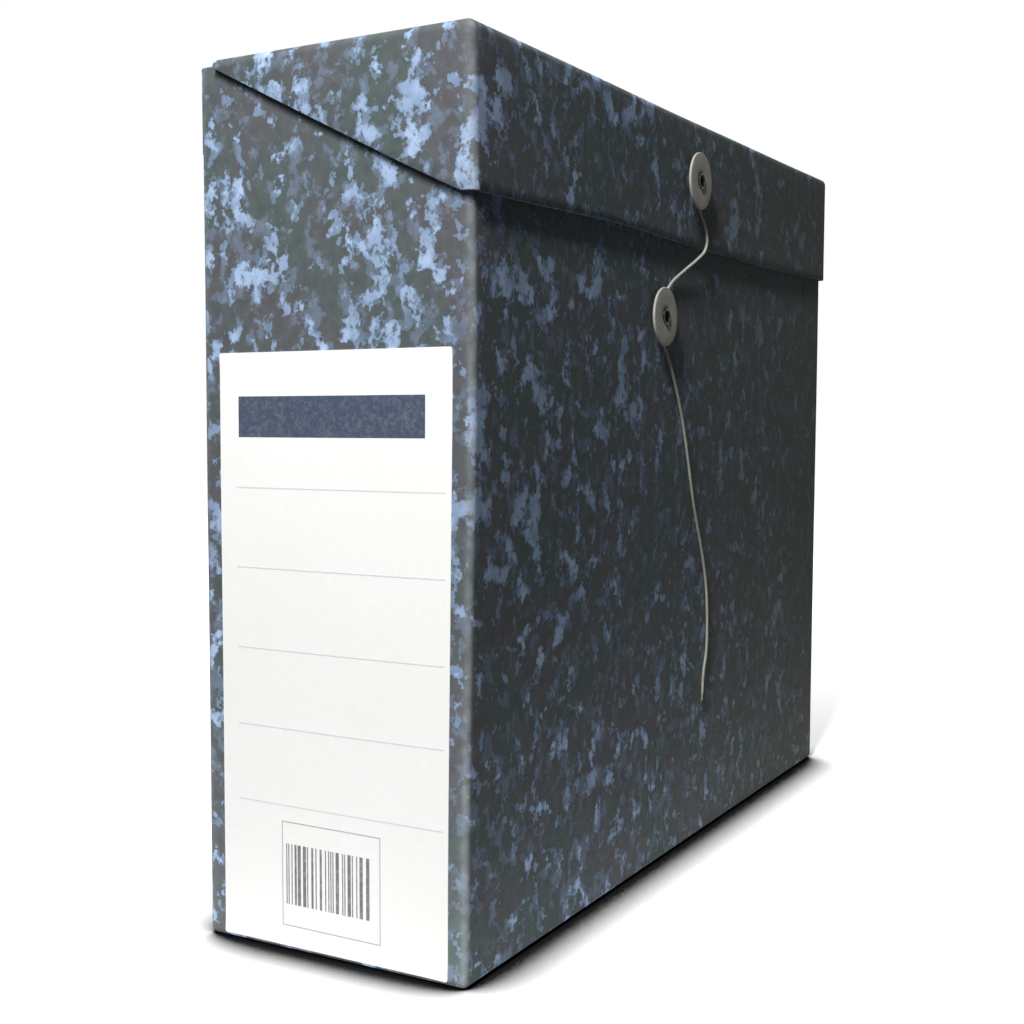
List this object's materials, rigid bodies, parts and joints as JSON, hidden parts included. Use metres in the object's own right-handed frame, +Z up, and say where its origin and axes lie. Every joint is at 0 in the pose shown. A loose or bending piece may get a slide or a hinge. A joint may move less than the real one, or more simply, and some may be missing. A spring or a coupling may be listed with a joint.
{
  "type": "archive storage box",
  "caption": "Tall narrow paper-covered board box with a hinged lid, fastened at the front by a string wound round washers, with a blank ruled label on its end.",
  "frame": {"origin": "middle of the flat bottom of the box", "axes": "+X along the long side, with the label on the -X end; -Y out of the front, which has the washers; +Z up"},
  "size_m": [0.3288, 0.1016, 0.275],
  "materials": {
    "cloud_paper": "matte",
    "lid_paper": "matte",
    "label_paper": "matte",
    "grey_fibre": "satin",
    "dark_brass": "satin",
    "grey_cotton": "matte"
  },
  "bodies": {
    "box": {"box_body": "cloud_paper", "label": "label_paper", "lower_washer": "grey_fibre", "lower_eyelet": "dark_brass"},
    "lid": {"lid": "lid_paper", "upper_washer": "grey_fibre", "upper_eyelet": "dark_brass"},
    "string": {"closure_string": "grey_cotton"}
  },
  "joints": [
    {"name": "lid_hinge", "type": "hinge", "parent": "box", "child": "lid", "pos_m": [0, 0.048, 0.27325], "axis": [-1, 0, 0], "range_deg": [0, 180], "deforming": ["closure_string"]},
    {"name": "string_hang", "type": "hinge", "parent": "lid", "child": "string", "pos_m": [0, -0.0508, 0.2524], "axis": [1, 0, 0], "range_deg": [0, 180]}
  ],
  "couplings": [
    {"joint": "string_hang", "follows": "lid_hinge", "ratio": 1}
  ]
}
